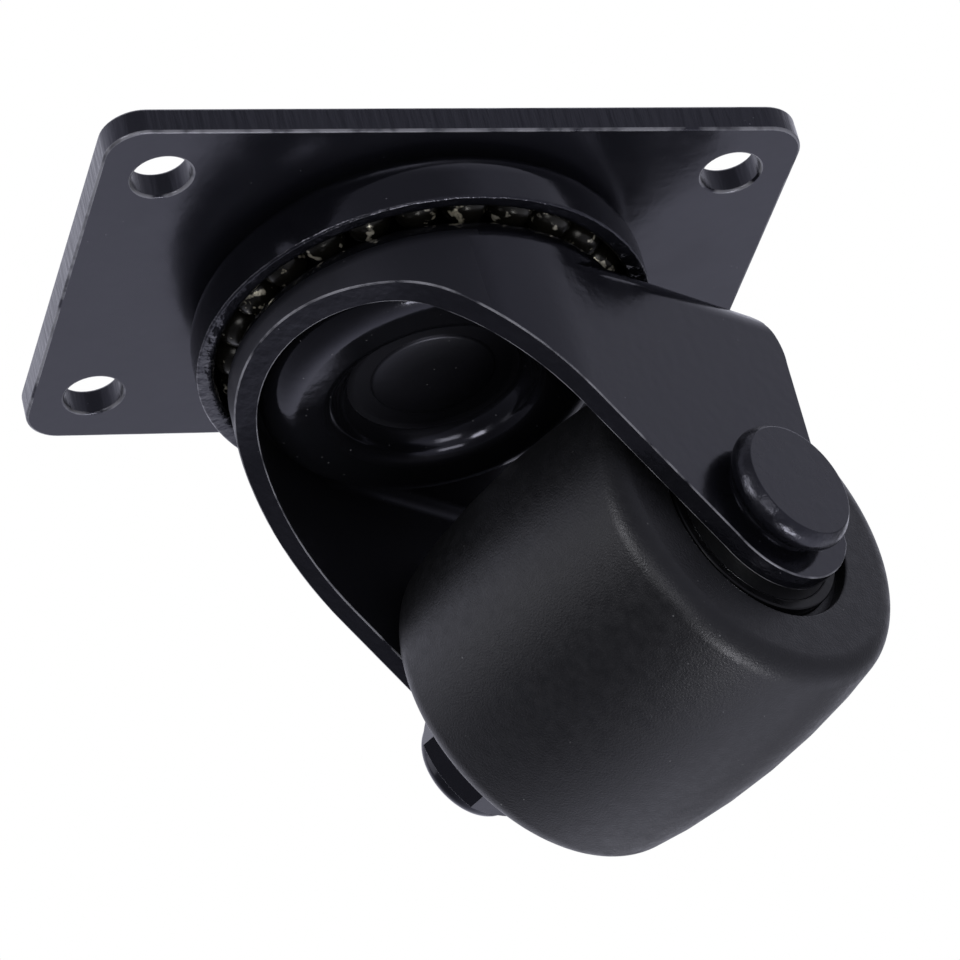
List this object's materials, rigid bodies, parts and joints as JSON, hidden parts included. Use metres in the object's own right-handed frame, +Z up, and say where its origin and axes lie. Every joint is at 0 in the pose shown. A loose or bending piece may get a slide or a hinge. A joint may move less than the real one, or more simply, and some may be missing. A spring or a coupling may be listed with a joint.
{
  "type": "low-profile swivel plate castor",
  "caption": "Low-profile swivel castor with a bolt-on plate, a double ball-race swivel in a pressed fork, and a wide crowned wheel on sealed ball bearings.",
  "frame": {"origin": "centre of the plate's top face, on the swivel axis", "axes": "+Z up out of the plate's top face along the swivel axis, X along the plate's long side"},
  "size_m": [0.0972, 0.0765, 0.0722],
  "materials": {
    "black_coat": "gloss black coating on pressed steel",
    "black_nylon": "satin black moulded nylon",
    "ball_steel": "polished bearing steel",
    "ring_steel": "blackened bearing steel",
    "zinc": "zinc plated",
    "seal": "matt black rubber",
    "cage": "moulded nylon",
    "nylon_insert": "natural nylon"
  },
  "bodies": {
    "base": {"top_plate": "black_coat", "race_cup": "black_coat", "king_pin": "black_coat", "lower_race_cap": "black_coat"},
    "upper_ball_row": {"upper_balls": "ball_steel"},
    "lower_ball_row": {"lower_balls": "ball_steel"},
    "fork_body": {"fork": "black_coat", "axle_bolt": "black_coat", "lock_nut": "black_coat", "nut_insert": "nylon_insert", "near_washer": "zinc", "far_washer": "zinc", "bearing_spacer": "zinc", "near_inner_ring": "ring_steel", "far_inner_ring": "ring_steel"},
    "wheel_body": {"wheel": "black_nylon", "near_outer_ring": "ring_steel", "near_outer_seal": "seal", "near_inner_seal": "seal", "far_outer_ring": "ring_steel", "far_outer_seal": "seal", "far_inner_seal": "seal"},
    "near_ball_set": {"near_balls": "ball_steel", "near_cage": "cage"},
    "far_ball_set": {"far_balls": "ball_steel", "far_cage": "cage"}
  },
  "joints": [
    {"name": "swivel", "type": "hinge", "parent": "base", "child": "fork_body", "pos_m": [0, 0, -0.0117], "axis": [0, 0, 1], "continuous": true},
    {"name": "upper_ball_orbit", "type": "hinge", "parent": "base", "child": "upper_ball_row", "pos_m": [0, 0, -0.00915], "axis": [0, 0, 1], "continuous": true},
    {"name": "lower_ball_orbit", "type": "hinge", "parent": "base", "child": "lower_ball_row", "pos_m": [0, 0, -0.01695], "axis": [0, 0, 1], "continuous": true},
    {"name": "wheel_spin", "type": "hinge", "parent": "fork_body", "child": "wheel_body", "pos_m": [0.02366, 0.01078, -0.0474], "axis": [0.4147, -0.91, 0], "continuous": true},
    {"name": "near_ball_orbit", "type": "hinge", "parent": "fork_body", "child": "near_ball_set", "pos_m": [0.02366, 0.01078, -0.0474], "axis": [0.4147, -0.91, 0], "continuous": true},
    {"name": "far_ball_orbit", "type": "hinge", "parent": "fork_body", "child": "far_ball_set", "pos_m": [0.02366, 0.01078, -0.0474], "axis": [0.4147, -0.91, 0], "continuous": true}
  ],
  "couplings": [
    {"joint": "upper_ball_orbit", "follows": "swivel", "ratio": 0.4776},
    {"joint": "lower_ball_orbit", "follows": "swivel", "ratio": 0.5},
    {"joint": "near_ball_orbit", "follows": "wheel_spin", "ratio": 0.6322},
    {"joint": "far_ball_orbit", "follows": "wheel_spin", "ratio": 0.6322}
  ]
}
